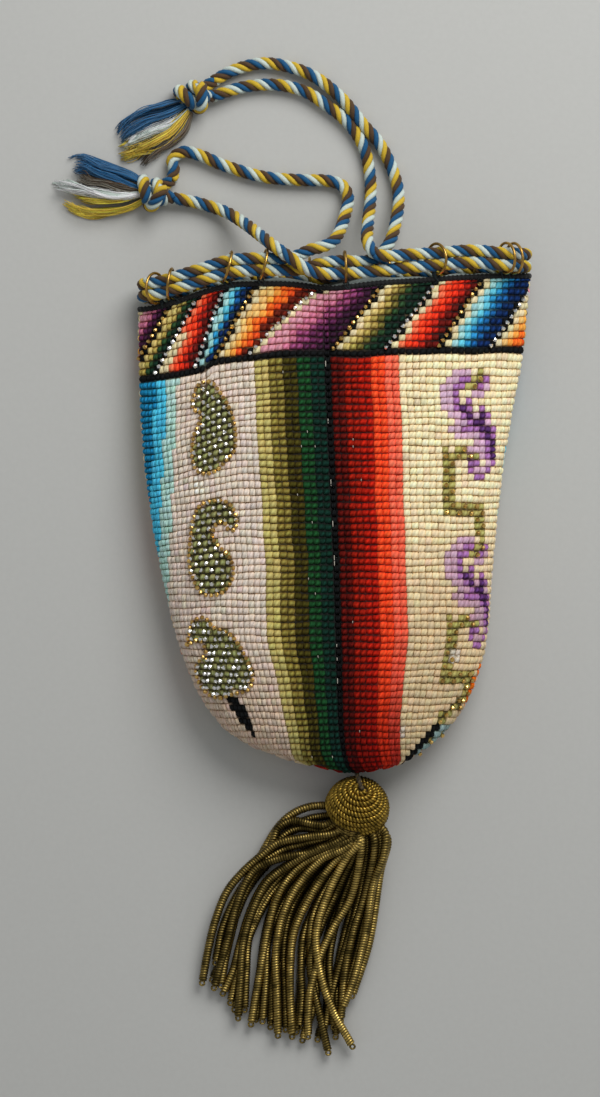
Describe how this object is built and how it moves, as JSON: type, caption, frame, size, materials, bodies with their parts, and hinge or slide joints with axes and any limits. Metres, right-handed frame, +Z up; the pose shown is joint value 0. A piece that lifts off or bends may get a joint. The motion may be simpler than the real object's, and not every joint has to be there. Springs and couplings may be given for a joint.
{
  "type": "reticule",
  "caption": "Drawstring reticule of wool needlework lying on its back, with a beaded band, a ringed mouth, twisted cords ending in knots and tufts, and a metal-thread tassel.",
  "frame": {"origin": "middle of the lying bag and its tassel, on the surface that they lie on", "axes": "+Y from the tassel towards the mouth, +Z up through the front of the bag"},
  "size_m": [0.1892, 0.3993, 0.0335],
  "materials": {
    "wool_left": "wool cross-stitch on canvas in shaded stripes of blue, pale pink, olive and green",
    "wool_right": "wool cross-stitch on canvas in shaded stripes of maroon, red, cream and orange",
    "lining_silk": "thin pale blue-green silk, a little worn",
    "edging_wool": "black wool overcast along the mouth",
    "ring_brass": "drawn brass wire, tarnished",
    "cord": "four-strand twisted cord in blue, pale aqua, yellow and brown",
    "tuft_wool": "loose yarn ends in the cord's four colours",
    "tie_thread": "waxed thread",
    "metal_thread": "gilt wire cord and coiled wire strands, darkened with age"
  },
  "bodies": {
    "root": {"gore_front_left": "wool_left", "gore_back_left": "wool_left", "gore_front_right": "wool_right", "gore_back_right": "wool_right", "lining": "lining_silk", "rim_edging": "edging_wool", "ring_front_1": "ring_brass", "ring_front_2": "ring_brass", "ring_front_3": "ring_brass", "ring_front_4": "ring_brass", "ring_front_5": "ring_brass", "ring_front_6": "ring_brass", "ring_front_7": "ring_brass", "ring_front_8": "ring_brass", "ring_back_1": "ring_brass", "ring_back_2": "ring_brass", "ring_back_3": "ring_brass", "ring_back_4": "ring_brass", "ring_back_5": "ring_brass", "drawstring_a_inner": "cord", "drawstring_a_run": "cord", "drawstring_a_outer": "cord", "drawstring_b_lower": "cord", "drawstring_b_run": "cord", "drawstring_b_upper": "cord", "knot_a": "cord", "knot_b": "cord", "tuft_a": "tuft_wool", "tuft_b": "tuft_wool", "tassel_tie": "tie_thread", "tassel_head": "metal_thread", "tassel_skirt": "metal_thread"}
  },
  "joints": []
}
